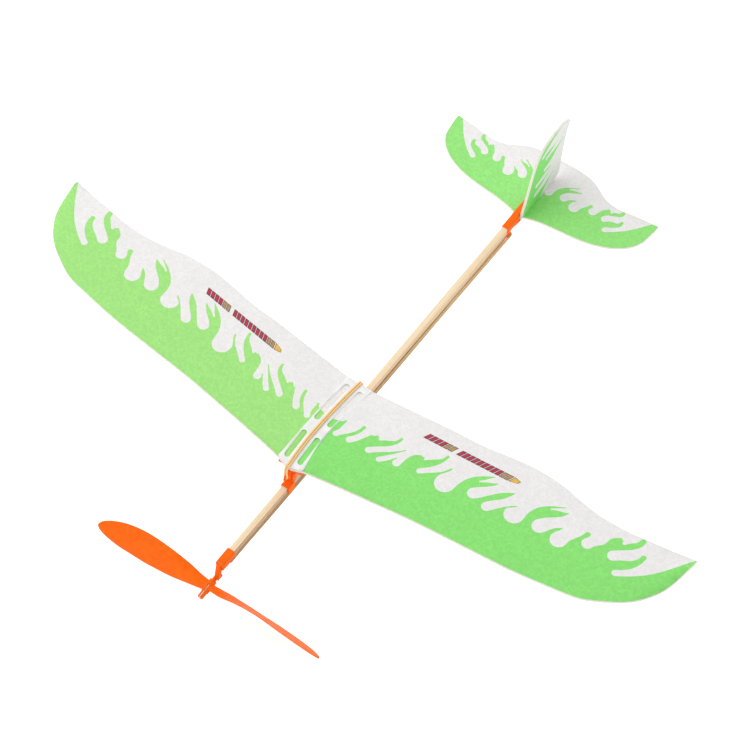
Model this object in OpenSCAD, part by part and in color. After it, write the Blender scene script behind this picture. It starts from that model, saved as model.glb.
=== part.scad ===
// Rubber-powered model plane: a wooden stick carries a plastic nose bearing with a
// two-blade propeller, a sliding saddle with a cambered foam wing strapped on by a
// rubber band, and a plastic tail mount with a foam tailplane, a fin and the motor peg.
// Working frame: x = 0 on the centreline, +X to port, +Y aft. y = 0 and z = 0 lie at
// the wing's leading edge on the centreline, on the upper face of the foam.

/* [Wing] */
// Wing span
span = 500; // [440:1:560]
// Wing chord on the centreline
root_chord = 77; // [70:1:84]
// Thickness of the foam sheet
foam_t = 2; // [1.6:0.1:2]
// Height of the camber line at the root
root_camber = 5.5; // [4:0.1:7]
// Height of the camber line far from the root
outer_camber = 1.5; // [0.5:0.1:3]
// Rise of each panel per millimetre of span
dihedral = 0.044; // [0.02:0.002:0.07]
// Extra rise at the tip, growing with the square of the span
tip_curl = 3.75; // [0:0.25:6]
// Fall of the wing per millimetre of chord
incidence = 0.026; // [0.01:0.002:0.04]

/* [Joiner] */
// Half width of the two joiner plates
joiner_half = 9.8; // [9:0.1:11]
// Thickness of a joiner plate
plate_t = 0.8; // [0.6:0.1:1]
// Width of a slot in the upper plate
slot_w = 3.8; // [3:0.1:4.2]

/* [Stick] */
// Width of the stick
stick_w = 4; // [3.6:0.1:4.2]
// Height of the stick
stick_h = 5; // [4.6:0.1:5.2]
// Front end of the stick
stick_front = -73; // [-73.5:0.1:-72.5]
// Rear end of the stick
stick_rear = 262; // [260:0.5:262.5]
// Height of the stick's upper face
stick_top = -19.8; // [-20:0.1:-19.6]

/* [Propeller] */
// Radius of the propeller
prop_r = 88; // [70:1:95]
// Turn of the propeller at rest, away from level
prop_turn = 2.5; // [0:0.5:5]
// Height of the propeller shaft
shaft_z = -35.2; // [-35.4:0.1:-35]
// Sideways turn of the propeller shaft
side_thrust = 1.6; // [0:0.2:2]
// Radius of the shaft wire
wire_r = 0.4; // [0.35:0.05:0.4]

/* [Tail] */
// Half span of the tailplane
tail_half = 85.6; // [75:0.2:95]
// Height of the tailplane's upper face
tail_z = -23.5; // [-23.6:0.1:-23.4]
// Height of the fin above the tailplane
fin_h = 59.5; // [45:0.5:70]

/* [Saddle] */
// Gap between the saddle's ring and the stick on each side
slide_gap = 0.15; // [0.1:0.01:0.25]

/* [Hidden] */
$fn = 48;

orange = [1.0, 0.36, 0.05];
foam_green = [0.45, 0.85, 0.35];
half_span = span / 2;
fit_gap = 0.1;
web_half = 0.5;
hub_y = -84.5;
hub_x = -1.3;
hub_r = 2.5;
hub_rear = 4.9;
nose_r = 2;
boss_r = 1.6;
boss_rear = 11.6;
wall = 0.9;
shaft_front = -9;
fold_r = 0.8;
tail_rear = 325.15;
nose_front = hub_y + shaft_front - fold_r - wire_r;
blade_drop = 13.466;
mid_y = (nose_front + tail_rear) / 2;
floor_z = shaft_z - blade_drop;

// Leading and trailing edge of a wing panel: distance out from the centreline, then y.
wing_le = [
    [0, 0], [27, 4.5], [55, 8.5], [92, 13], [129, 16], [159, 18.5], [187, 22.5],
    [203, 25.5], [214, 30.5], [229, 40], [238, 50], [245, 64], [250, 89]
];
wing_te = [
    [0, 77], [45, 81], [72, 83.5], [92, 84.5], [112, 87.5], [130, 89.5], [152, 88.5],
    [166, 85.5], [183, 83], [203, 83], [214, 84.5], [231, 86.5], [250, 89.5]
];
tail_le = [[0, 266], [15, 270], [45, 273.5], [58, 276.5], [70, 282], [80, 291], [84.6, 302], [85.6, 315.5]];
tail_te = [[0, 325], [13, 325], [26, 323], [35, 318.5], [42, 314.5], [53, 312.5], [69, 314.5], [85.6, 316]];

// Smooth curve through points that are sorted by their first value.
function seg(p, x, i = 0) = (i >= len(p) - 2 || x <= p[i + 1][0]) ? i : seg(p, x, i + 1);
function slope(p, i) = let(a = max(i - 1, 0), b = min(i + 1, len(p) - 1))
    (p[b][1] - p[a][1]) / (p[b][0] - p[a][0]);
function hermite(p, i, x) = let(
        h = p[i + 1][0] - p[i][0],
        t = (x - p[i][0]) / h,
        m0 = slope(p, i) * h,
        m1 = slope(p, i + 1) * h)
    (2 * t ^ 3 - 3 * t ^ 2 + 1) * p[i][1] + (t ^ 3 - 2 * t ^ 2 + t) * m0
    + (3 * t ^ 2 - 2 * t ^ 3) * p[i + 1][1] + (t ^ 3 - t ^ 2) * m1;
function along(p, x) = hermite(p, seg(p, x), x);
// Even steps from a to b.
function steps(a, b, n) = [for (i = [0 : n]) a + (b - a) * i / n];
function reversed(v) = [for (i = [len(v) - 1 : -1 : 0]) v[i]];

// Upper face of the wing: panel outline, camber and height. Within the joiner the camber
// is the same at every station, so that one arched section fits plates and foam.
camber_peak = 0.38;
function le(x) = along(wing_le, abs(x) * 250 / half_span);
function te(x) = along(wing_te, abs(x) * 250 / half_span) * root_chord / 77;
function outboard(x) = max(abs(x) - joiner_half, 0) * half_span / (half_span - joiner_half);
function camber_at(x) = outer_camber + (root_camber - outer_camber) * exp(-outboard(x) / 70);
function camber_shape(v) = v < camber_peak
    ? 1 - ((camber_peak - v) / camber_peak) ^ 2
    : 1 - ((v - camber_peak) / (1 - camber_peak)) ^ 2;
function face_z(x, y) = let(front = le(outboard(x)), back = te(outboard(x)))
    dihedral * abs(x) + tip_curl * (x / half_span) ^ 2 - incidence * y
    + camber_at(x) * camber_shape((y - front) / (back - front));
function wing_y(x, v) = le(x) + v * (te(x) - le(x));
function wing_z(x, v) = face_z(x, wing_y(x, v));

// Moves the working frame to the part's origin, under the middle of the plane.
module placed() {
    translate([0, -mid_y, -floor_z]) children();
}

// A foam sheet under the wing's upper face, over the given stations across the span.
module sheet(stations, thick) {
    n = 16;
    ring = 2 * (n + 1);
    last = len(stations) - 1;
    vs = steps(0, 1, n);
    points = [
        for (x = stations) each concat(
            [for (v = vs) [x, wing_y(x, v), wing_z(x, v)]],
            [for (v = reversed(vs)) [x, wing_y(x, v), wing_z(x, v) - thick]])
    ];
    sides = [
        for (i = [0 : last - 1]) for (j = [0 : ring - 1])
            let(k = (j + 1) % ring) each [
                [i * ring + j, i * ring + k, (i + 1) * ring + k],
                [i * ring + j, (i + 1) * ring + k, (i + 1) * ring + j]
            ]
    ];
    ends = [
        [for (j = [ring - 1 : -1 : 0]) j],
        [for (j = [0 : ring - 1]) last * ring + j]
    ];
    polyhedron(points, concat(sides, ends), convexity = 6);
}

// Both halves of an arched plate that follows the wing's upper face at its root, from
// y0 to y1. Each half is one section across the chord, tilted by the dihedral.
module arched_plate(half, top, thick, y0, y1) {
    n = 18;
    ys = steps(y0, y1, n);
    section = concat(
        [for (y = ys) [y, face_z(0, y) + top]],
        [for (y = reversed(ys)) [y, face_z(0, y) + top - thick]]);
    for (side = [0, 1]) mirror([side, 0, 0])
        rotate([0, -atan(dihedral), 0]) side_plate(section, -0.2, half);
}

// Draws in the frame of the propeller shaft: y = 0 at the hub, +Y aft along the shaft.
module on_shaft() {
    translate([hub_x, hub_y, shaft_z]) rotate([0, 0, side_thrust]) children();
}

// A cylinder along Y from y0 to y1.
module rod_y(r, y0, y1) {
    translate([0, y0, 0]) rotate([-90, 0, 0]) cylinder(r = r, h = y1 - y0);
}

// A side view in y and z, given a thickness across the centreline.
module side_plate(points, x0, x1) {
    translate([x0, 0, 0]) rotate([90, 0, 90]) linear_extrude(x1 - x0) polygon(points);
}

module fuselage_stick() {
    color("burlywood") placed()
        translate([-stick_w / 2, stick_front, stick_top - stick_h])
            cube([stick_w, stick_rear - stick_front, stick_h]);
}

// A box along Y with its four long edges rounded.
module rounded_bar(w, h, y0, y1, r) {
    translate([0, y1, 0]) rotate([90, 0, 0]) linear_extrude(y1 - y0) union() {
        square([w - 2 * r, h], center = true);
        square([w, h - 2 * r], center = true);
        for (sx = [-1, 1], sz = [-1, 1])
            translate([sx * (w / 2 - r), sz * (h / 2 - r)]) circle(r);
    }
}

// Nose block: a sleeve over the stick, a slim neck and the bearing for the shaft.
sleeve_y0 = -74;
sleeve_y1 = -61.5;
stick_mid = stick_top - stick_h / 2;
module nose_block() {
    neck = [
        [-74, -19.6], [-75, -21.5], [-76.2, -26], [-77.2, -30.5], [-78, -33.8],
        [-78, -35.2], [-73.4, -35.2], [-73.6, -33.6], [-74.2, -31], [-73.8, -28],
        [-72.4, -25.8], [-69, -24]
    ];
    color(orange) placed() difference() {
        union() {
            translate([0, 0, stick_mid])
                rounded_bar(stick_w + 2 * wall, stick_h + 2 * wall, sleeve_y0, sleeve_y1, 0.9);
            side_plate(neck, -1.9, 1.2);
            on_shaft() rod_y(boss_r, hub_rear + 1.1, boss_rear);
        }
        translate([-stick_w / 2, stick_front, stick_top - stick_h])
            cube([stick_w, 20, stick_h]);
        on_shaft() rod_y(wire_r + 0.06, hub_rear, boss_rear + 2);
        translate([0, sleeve_y0 - 0.2, stick_top + wall])
            rotate([38, 0, 0]) cube([10, 10, 3], center = true);
    }
}

module thrust_washer() {
    color(orange) placed() on_shaft() difference() {
        rod_y(1.5, hub_rear + 0.1, hub_rear + 0.95);
        rod_y(wire_r + 0.06, hub_rear, hub_rear + 2);
    }
}

// Shaft wire: a U-bend over the hub's nose, the straight shaft, and behind the bearing
// an open ring around the shaft's axis that holds the rubber motor at its rear.
fold_rear = 0.6;
hook_r = 3.2;
hook_front = boss_rear + 4.8;
hook_rear = hook_front + 2 * hook_r;
module wire_arc(y, z, bend, start, sweep) {
    translate([0, y, z]) rotate([0, 90, 0]) rotate([0, 0, start])
        rotate_extrude(angle = sweep) translate([bend, 0]) circle(wire_r, $fn = 24);
}
module prop_shaft() {
    color("silver") placed() on_shaft() union() {
        rod_y(wire_r, shaft_front, hook_front + wire_r / 2);
        wire_arc(shaft_front, fold_r, fold_r, 180, 180);
        translate([0, 0, 2 * fold_r]) rod_y(wire_r, shaft_front, fold_rear);
        wire_arc(hook_front + hook_r, 0, hook_r, -90, 300);
    }
}

// One blade points to -X: chord, forward shift along the chord, pitch angle and aft shift
// along the shaft, each along the radius.
blade_chord = [[0, 6.5], [10, 10], [20, 15.4], [30, 20.2], [40, 23.1], [50, 24], [60, 22.6],
    [70, 19.7], [78, 14.8], [83, 10.4], [86, 6.6], [87.5, 3.4], [88, 1.5]];
blade_lead = [[0, 0], [15, 0.3], [30, 1.2], [45, 0.8], [60, 0], [70, 0.3], [88, 1.2]];
blade_pitch = [[0, 60], [10, 49.5], [20, 35], [30, 28.4], [40, 26], [50, 26.6], [60, 27.8],
    [70, 29], [78, 31], [88, 34]];
blade_aft = [[0, 0], [10, 0.1], [20, 0.8], [30, 1.2], [45, 0.9], [60, -0.1], [78, -1.3], [88, -2.2]];
blade_camber = 0.02;
edge_t = 0.3;
function blade_t(r) = 0.8 + 1.7 * exp(-r / 14);
function blade_point(r, s, face) = let(
        q = r * 88 / prop_r,
        c = along(blade_chord, q),
        a = along(blade_pitch, q),
        along_chord = s * c / 2 - along(blade_lead, q),
        bulge = (1 - s * s) * (blade_camber * c + face * blade_t(q) / 2) + face * edge_t / 2)
    [
        -r,
        along_chord * sin(a) - bulge * cos(a) + along(blade_aft, q),
        along_chord * cos(a) + bulge * sin(a)
    ];
module blade() {
    m = 8;
    rs = concat(steps(1, 79, 26), steps(80.5, 86.5, 5), [87.3, 87.8, 88]) * prop_r / 88;
    ring = 2 * (m + 1);
    last = len(rs) - 1;
    ss = [for (i = [0 : m]) -cos(180 * i / m)];
    points = [
        for (r = rs) each concat(
            [for (s = ss) blade_point(r, s, 1)],
            [for (s = reversed(ss)) blade_point(r, s, -1)])
    ];
    sides = [
        for (i = [0 : last - 1]) for (j = [0 : ring - 1])
            let(k = (j + 1) % ring) each [
                [i * ring + j, (i + 1) * ring + k, i * ring + k],
                [i * ring + j, (i + 1) * ring + j, (i + 1) * ring + k]
            ]
    ];
    ends = [
        [for (j = [0 : ring - 1]) j],
        [for (j = [ring - 1 : -1 : 0]) last * ring + j]
    ];
    polyhedron(points, concat(sides, ends), convexity = 6);
}
// A slot in the hub for the folded wire, open to the front and upwards.
module wire_slot(z, y1) {
    w = wire_r + 0.05;
    translate([-w, -12, z - 0.05]) cube([2 * w, y1 + 12, 6]);
}
module propeller() {
    color(orange) placed() on_shaft() difference() {
        union() {
            rod_y(hub_r, -4.9, hub_rear);
            rod_y(nose_r, shaft_front - fold_r, -4.8);
            for (side = [0, 180]) rotate([0, side - prop_turn, 0]) blade();
        }
        rod_y(wire_r + 0.02, -12, hub_rear + 1);
        wire_slot(2 * fold_r - wire_r, fold_rear + 0.1);
        wire_slot(-wire_r, shaft_front + 0.05);
    }
}

// Two rubber loops, one above the other, from the shaft's hook to the tail peg.
motor_front = [hub_x - sin(side_thrust) * hook_rear, hub_y + hook_rear - 0.2];
motor_rear = [0, 256.5];
motor_run = norm(motor_rear - motor_front);
loop_inner = 0.56;
loop_outer = 1.7;
loop_h = 1;
peg_half = 0.48;
module loop_outline(r) {
    translate([-r, 0]) square([2 * r, motor_run]);
    circle(r);
    translate([0, motor_run]) circle(r);
}
module rubber_motor() {
    turn = -atan2(motor_rear[0] - motor_front[0], motor_rear[1] - motor_front[1]);
    color("tan") placed() for (dz = [-0.55, 0.55])
        translate([motor_front[0], motor_front[1], shaft_z + dz - loop_h / 2])
            rotate([0, 0, turn]) linear_extrude(loop_h) difference() {
                loop_outline(loop_outer);
                loop_outline(loop_inner);
            }
}

// Wing panels: one foam sheet on each side of the joiner's web.
function panel_stations() = concat(
    [web_half + 0.1, 5, joiner_half], steps(18, 210, 16), steps(217, 238, 4),
    [241, 244, 246.5, 248.5, 249.6]);
module wing_port() {
    color(foam_green) placed() sheet(panel_stations() * half_span / 250, foam_t);
}
module wing_starboard() {
    mirror([1, 0, 0]) wing_port();
}

// Joiner: an upper and a lower plate with a web between, and four round-ended slots.
slot_x = 5.2;
module joiner_slot(x, y0, y1) {
    translate([x, 0, -1.6]) linear_extrude(12) union() {
        translate([-slot_w / 2, y0 + slot_w / 2]) square([slot_w, y1 - y0 - slot_w]);
        translate([0, y0 + slot_w / 2]) circle(slot_w / 2);
        translate([0, y1 - slot_w / 2]) circle(slot_w / 2);
    }
}
module wing_joiner() {
    y1 = root_chord + 0.6;
    web_y = steps(0.4, y1 - 0.4, 18);
    web = concat(
        [for (y = web_y) [y, face_z(0, y) + fit_gap + plate_t / 2]],
        [for (y = reversed(web_y)) [y, face_z(0, y) - foam_t - fit_gap - plate_t / 2]]);
    color("white") placed() difference() {
        union() {
            arched_plate(joiner_half, fit_gap + plate_t, plate_t, -0.4, y1);
            arched_plate(joiner_half, -foam_t - fit_gap, plate_t, -0.4, y1);
            side_plate(web, -web_half, web_half);
        }
        for (x = [-slot_x, slot_x]) {
            joiner_slot(x, 4, 25.5);
            joiner_slot(x, 36, 72);
        }
        for (side = [0, 1]) mirror([side, 0, 0]) translate([0, 0, -10]) linear_extrude(20)
            polygon([[1, -2], [12, -2], [12, le(12)], [2, -0.4]]);
    }
}

// Saddle: platform under the joiner, two flared legs, rings on the stick, band horns.
deck_top = -foam_t - 2 * fit_gap - plate_t;
deck_t = 1.2;
ring_w = stick_w + 2 * slide_gap + 2 * wall;
front_lean = 8.3;
ring_y0 = -5.2;
ring_y1 = 1.6;
foot_y = 1.3;
module leg(y0, y1, top) {
    outline = concat(
        [[-9, top], [9, top]],
        [for (a = [0 : 10 : 90]) [9 - 6.4 * sin(a), top - 1.6 - 8.4 * (1 - cos(a))]],
        [[2.6, stick_top + 1], [-2.6, stick_top + 1]],
        [for (a = [90 : -10 : 0]) [-9 + 6.4 * sin(a), top - 1.6 - 8.4 * (1 - cos(a))]]);
    translate([0, y1, 0]) rotate([90, 0, 0]) linear_extrude(y1 - y0) polygon(outline);
}
module ring(y0, y1) {
    h = stick_h + 2 * slide_gap;
    difference() {
        translate([0, 0, stick_mid - 0.3]) rounded_bar(ring_w, h + 2 * wall + 0.6, y0, y1, 0.8);
        translate([-stick_w / 2 - slide_gap, y0 - 1, stick_mid - h / 2])
            cube([stick_w + 2 * slide_gap, y1 - y0 + 2, h]);
    }
}
// A horn in side view: a quarter bend that points away from the leg and down.
module horn(y, z, dir) {
    bend = 3.4;
    curve = concat(
        [for (a = [0 : 10 : 90]) [y + dir * (bend + 0.8) * sin(a), z + (bend + 0.8) * cos(a)]],
        [for (a = [90 : -10 : 0]) [y + dir * (bend - 0.8) * sin(a), z + (bend - 0.8) * cos(a)]]);
    side_plate(curve, -0.45, 0.45);
}
module wing_saddle() {
    web = concat(
        [[0.2, stick_top + 1.2], [-2, -8], [-1.6, -4.2]],
        [for (y = steps(1.5, 74, 12)) [y, face_z(0, y) + deck_top - 0.6]],
        [[76, -10], [72, stick_top + 1.6], [64, stick_top + 1.6]],
        [for (a = [0 : 10 : 180]) [34 + 29 * cos(a), -18 + 11 * sin(a)]]);
    color(orange) placed() union() {
        arched_plate(9, deck_top, deck_t, 1, 75);
        side_plate(web, -1.1, 1.1);
        translate([0, foot_y, stick_top]) rotate([-front_lean, 0, 0])
            translate([0, 0, -stick_top]) leg(-1.5, 1.5, -3.2);
        leg(71, 74, -4.6);
        ring(ring_y0, ring_y1);
        ring(64, 74);
        side_plate(
            [[ring_y0, -26], [ring_y1, -26], [ring_y1 - 1.8, -29.2], [ring_y0 + 2, -29.2]],
            -1.4, 1.4);
        horn(-1.6, -10.4, -1);
        horn(75, -12, 1);
    }
}

// Wing band: two strands over the joiner, closed by a bend under each horn.
strand_w = 0.9;
strand_t = 1;
strand_x = 0.55;
strand_gap = 0.22;
band_z = fit_gap + plate_t + strand_gap + strand_t / 2;
function ribbon(path, t) = let(
        last = len(path) - 1,
        normal = [for (i = [0 : last]) let(
            d = path[min(i + 1, last)] - path[max(i - 1, 0)])
            [-d[1], d[0]] / norm(d)])
    concat(
        [for (i = [0 : last]) path[i] + normal[i] * t / 2],
        [for (i = [last : -1 : 0]) path[i] - normal[i] * t / 2]);
module band_end(y, z) {
    translate([0, y, z]) rotate([90, 0, 0]) rotate([0, 0, 180])
        rotate_extrude(angle = 180) translate([strand_x + strand_w / 2, 0])
            square([strand_w, strand_t], center = true);
}
module wing_band() {
    front = [-3.6, -9.2];
    rear = [78.9, -11.75];
    over = [for (y = steps(1.4, 77.2, 18)) [y, face_z(0, y) + band_z]];
    path = concat(
        [front, [-3.4, -6], [-3.1, -2.6], [-2.3, 0.4], [-1, 1.7]], over,
        [[78.5, face_z(0, 77) + band_z - 0.4], [79.2, -2], [79.4, -4], [79.3, -7.5], rear]);
    color([0.95, 0.8, 0.45]) placed() union() {
        for (x = [-strand_x - strand_w, strand_x])
            side_plate(ribbon(path, strand_t), x, x + strand_w);
        band_end(front[0], front[1]);
        band_end(rear[0], rear[1]);
    }
}

// Tail mount: sleeve on the stick's end, a slot for the tailplane, a rib for the fin
// and the peg that holds the rubber motor.
mount_y0 = 249.5;
mount_y1 = 263.4;
mount_half = 2.65;
rib_port = 1.75;
module tail_mount() {
    peg = [
        [250.8, -25.4], [259.5, -25.4], [257.2, -30], [256.2, -37.4], [257.6, -38.4],
        [257.4, -39.4], [254, -39.4], [253.6, -36], [252.6, -30]
    ];
    rib = [[262, -19.2], [268, -19.2], [296, -21.6], [296, tail_z + fit_gap], [262, tail_z + fit_gap]];
    tongue_z = tail_z - foam_t - fit_gap;
    tongue = [
        [258, -24.9], [264.8, -24.9], [264.8, tongue_z], [296, tongue_z],
        [294, tongue_z - 1], [264, tongue_z - 1.6], [258, -25.4]
    ];
    color(orange) placed() difference() {
        union() {
            translate([0, 0, stick_mid])
                rounded_bar(2 * mount_half, stick_h + 1.3, mount_y0, mount_y1, 0.6);
            side_plate(rib, -mount_half, rib_port);
            side_plate(tongue, -mount_half, mount_half);
            side_plate(peg, -peg_half, peg_half);
        }
        translate([-stick_w / 2, mount_y0 - 1, stick_top - stick_h])
            cube([stick_w, stick_rear - mount_y0 + 1, stick_h]);
    }
}

module tailplane() {
    xs = steps(-tail_half, tail_half, 80);
    k = 85.6 / tail_half;
    outline = concat(
        [for (x = xs) [x, along(tail_le, abs(x) * k)]],
        [for (x = reversed(xs)) [x, along(tail_te, abs(x) * k)]]);
    color(foam_green) placed() translate([0, 0, tail_z - foam_t])
        linear_extrude(foam_t) polygon(outline);
}

// Fin: edges given as y along its height, with a rounded top corner.
fin_x = rib_port + 0.15;
fin_front = [[0, 264], [13, 269], [26, 273], [42, 278], [52, 284], [57, 291], [59.5, 300]];
fin_back = [[0, 305], [4, 310.5], [22, 314], [40, 316], [52, 319], [56, 319.5], [59.5, 312]];
module fin() {
    k = fin_h / 59.5;
    zs = steps(0, 59.5, 40);
    outline = concat(
        [for (z = zs) [along(fin_front, z), tail_z + z * k]],
        [for (z = reversed(zs)) [along(fin_back, z), tail_z + z * k]]);
    color(foam_green) placed() side_plate(outline, fin_x, fin_x + foam_t);
}

// Strips of double-sided tape under the fin's flank and under the tailplane.
module fin_tape() {
    color("ivory") placed()
        side_plate([[266, -22.9], [294, -22.9], [294, -21.9], [266, -19.9]], rib_port, fin_x);
}
module tailplane_tape() {
    color("ivory") placed() translate([-2.4, 268, tail_z - foam_t - fit_gap])
        cube([4.8, 24, fit_gap]);
}

fuselage_stick();
nose_block();
thrust_washer();
prop_shaft();
propeller();
rubber_motor();
wing_saddle();
wing_joiner();
wing_port();
wing_starboard();
wing_band();
tail_mount();
tailplane();
fin();
fin_tape();
tailplane_tape();
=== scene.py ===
import math

import bmesh
import bpy
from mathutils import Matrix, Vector
from mathutils.geometry import delaunay_2d_cdt


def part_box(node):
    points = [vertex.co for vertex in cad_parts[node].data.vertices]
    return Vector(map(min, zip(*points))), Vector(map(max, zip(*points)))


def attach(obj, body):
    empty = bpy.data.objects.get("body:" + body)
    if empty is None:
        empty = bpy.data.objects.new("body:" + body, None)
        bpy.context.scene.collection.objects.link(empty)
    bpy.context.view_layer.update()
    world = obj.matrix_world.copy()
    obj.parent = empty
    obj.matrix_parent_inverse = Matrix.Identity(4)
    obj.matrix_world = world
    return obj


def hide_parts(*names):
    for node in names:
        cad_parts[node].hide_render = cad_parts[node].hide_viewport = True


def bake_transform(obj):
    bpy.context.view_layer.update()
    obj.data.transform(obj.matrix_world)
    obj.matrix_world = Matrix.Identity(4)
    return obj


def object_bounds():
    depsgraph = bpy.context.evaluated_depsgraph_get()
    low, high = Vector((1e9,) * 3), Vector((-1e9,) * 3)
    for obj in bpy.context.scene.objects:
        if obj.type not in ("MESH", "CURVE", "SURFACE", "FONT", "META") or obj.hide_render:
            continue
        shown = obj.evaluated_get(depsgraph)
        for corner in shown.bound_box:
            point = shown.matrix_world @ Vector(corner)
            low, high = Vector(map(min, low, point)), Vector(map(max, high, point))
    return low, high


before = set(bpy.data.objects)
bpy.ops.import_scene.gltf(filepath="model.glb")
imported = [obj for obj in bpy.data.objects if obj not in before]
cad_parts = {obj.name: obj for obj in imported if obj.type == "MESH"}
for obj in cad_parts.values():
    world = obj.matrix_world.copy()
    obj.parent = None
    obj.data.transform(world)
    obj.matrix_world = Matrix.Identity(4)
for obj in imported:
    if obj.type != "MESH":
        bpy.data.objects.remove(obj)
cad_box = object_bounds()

MM = 0.001

# Working frame of the CAD in millimetres: x = 0 on the centreline, y = 0 and z = 0 at the
# wing's leading edge on the centreline, on the upper face of the foam.
STICK_FRONT = -73.0
STICK_TOP = -19.8
stick_low, stick_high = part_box("fuselage_stick")
ORIGIN = Vector((0.0, stick_low[1] - STICK_FRONT * MM, stick_high[2] - STICK_TOP * MM))


def at(x, y, z):
    """A point of the working frame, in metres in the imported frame."""
    return ORIGIN + Vector((x, y, z)) * MM


# ---------------------------------------------------------------- camera, floor, light

TARGET = at(7.88, 83.48, 9.56)
AZIMUTH = math.radians(35.867)
ELEVATION = math.radians(58.145)
DISTANCE = 1.37722
FOCAL_IN_FRAMES = 2112.0 / 750.0
SENSOR = 36.0


def add_camera():
    back = Vector((
        math.sin(AZIMUTH) * math.cos(ELEVATION),
        -math.cos(AZIMUTH) * math.cos(ELEVATION),
        math.sin(ELEVATION)))
    data = bpy.data.cameras.new("camera")
    data.sensor_width = SENSOR
    data.lens = FOCAL_IN_FRAMES * SENSOR
    data.clip_start = 0.05
    data.clip_end = 20.0
    camera = bpy.data.objects.new("camera", data)
    camera.location = TARGET + back * DISTANCE
    camera.rotation_euler = (-back).to_track_quat("-Z", "Y").to_euler()
    bpy.context.collection.objects.link(camera)
    bpy.context.scene.camera = camera


def add_light(name, place, size, power):
    data = bpy.data.lights.new(name, "AREA")
    data.shape = "DISK"
    data.size = size
    data.energy = power
    light = bpy.data.objects.new(name, data)
    light.location = place
    light.rotation_euler = (-Vector(place)).to_track_quat("-Z", "Y").to_euler()
    bpy.context.collection.objects.link(light)


def add_studio():
    scene = bpy.context.scene
    scene.view_settings.view_transform = "Standard"
    world = bpy.data.worlds.new("studio")
    world.use_nodes = True
    world.node_tree.nodes["Background"].inputs["Color"].default_value = (1.0, 1.0, 1.0, 1.0)
    world.node_tree.nodes["Background"].inputs["Strength"].default_value = 0.68
    scene.world = world
    add_light("key", (-1.1, -0.2, 1.4), 2.2, 16.0)
    add_light("fill", (-0.2, 1.3, 1.2), 1.6, 4.0)


# ---------------------------------------------------------------- node helpers

# The darkening towards the nose fades from the first place to the second.
NOSE_Y = at(0, -60, 0).y
TAIL_Y = at(0, 170, 0).y


class Nodes:
    """A new material and short ways to add and join its nodes."""

    def __init__(self, name):
        self.material = bpy.data.materials.new(name)
        self.material.use_nodes = True
        self.tree = self.material.node_tree
        self.shader = self.tree.nodes["Principled BSDF"]
        self.coords = self.tree.nodes.new("ShaderNodeTexCoord").outputs["Object"]

    def set(self, **sockets):
        for name, value in sockets.items():
            self.shader.inputs[name.replace("_", " ")].default_value = value

    def add(self, kind, **inputs):
        node = self.tree.nodes.new(kind)
        for name, value in inputs.items():
            self.put(node.inputs[name.replace("_", " ")], value)
        return node

    def put(self, socket, value):
        if isinstance(value, bpy.types.NodeSocket):
            self.tree.links.new(value, socket)
        else:
            socket.default_value = value

    def stretched(self, x, y, z):
        node = self.add("ShaderNodeMapping", Vector=self.coords)
        node.inputs["Scale"].default_value = (x, y, z)
        return node.outputs["Vector"]

    def noise(self, scale, detail=3.0, vector=None, roughness=0.5):
        return self.add(
            "ShaderNodeTexNoise", Vector=vector or self.coords, Scale=scale,
            Detail=detail, Roughness=roughness).outputs["Fac"]

    def math(self, operation, a, b=0.0):
        node = self.tree.nodes.new("ShaderNodeMath")
        node.operation = operation
        self.put(node.inputs[0], a)
        self.put(node.inputs[1], b)
        return node.outputs[0]

    def span(self, value, low, high, to_low=0.0, to_high=1.0):
        node = self.add("ShaderNodeMapRange", Value=value)
        node.inputs["From Min"].default_value = low
        node.inputs["From Max"].default_value = high
        node.inputs["To Min"].default_value = to_low
        node.inputs["To Max"].default_value = to_high
        return node.outputs["Result"]

    def mix(self, fac, a, b):
        node = self.tree.nodes.new("ShaderNodeMix")
        node.data_type = "RGBA"
        self.put(node.inputs["Factor"], fac)
        self.put(node.inputs["A"], rgba(a) if isinstance(a, tuple) else a)
        self.put(node.inputs["B"], rgba(b) if isinstance(b, tuple) else b)
        return node.outputs["Result"]

    def colour(self, value):
        self.put(self.shader.inputs["Base Color"], value)

    def roughness(self, value):
        self.put(self.shader.inputs["Roughness"], value)

    def part(self, vector, axis):
        node = self.add("ShaderNodeSeparateXYZ", Vector=vector)
        return node.outputs[axis]

    def surface(self, output):
        return self.tree.nodes.new("ShaderNodeNewGeometry").outputs[output]

    def nose_darkening(self):
        """How much the wood and rubber are darkened: most near the nose, fading towards the tail."""
        return self.span(self.part(self.coords, "Y"), NOSE_Y, TAIL_Y, 0.72, 0.3)

    def soft_edges(self, radius):
        """A normal that rounds the look of sharp edges."""
        node = self.tree.nodes.new("ShaderNodeBevel")
        node.samples = 6
        node.inputs["Radius"].default_value = radius
        return node.outputs["Normal"]

    def bump(self, height, distance, strength=1.0, normal=None):
        node = self.add("ShaderNodeBump", Height=height, Strength=strength, Distance=distance)
        if normal is not None:
            self.put(node.inputs["Normal"], normal)
        self.put(self.shader.inputs["Normal"], node.outputs["Normal"])


def rgba(c):
    return (c[0], c[1], c[2], 1.0)


def dim(c, k):
    return tuple(v * k for v in c[:3])


# ---------------------------------------------------------------- materials

BEAD = 1.5 * MM


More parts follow.
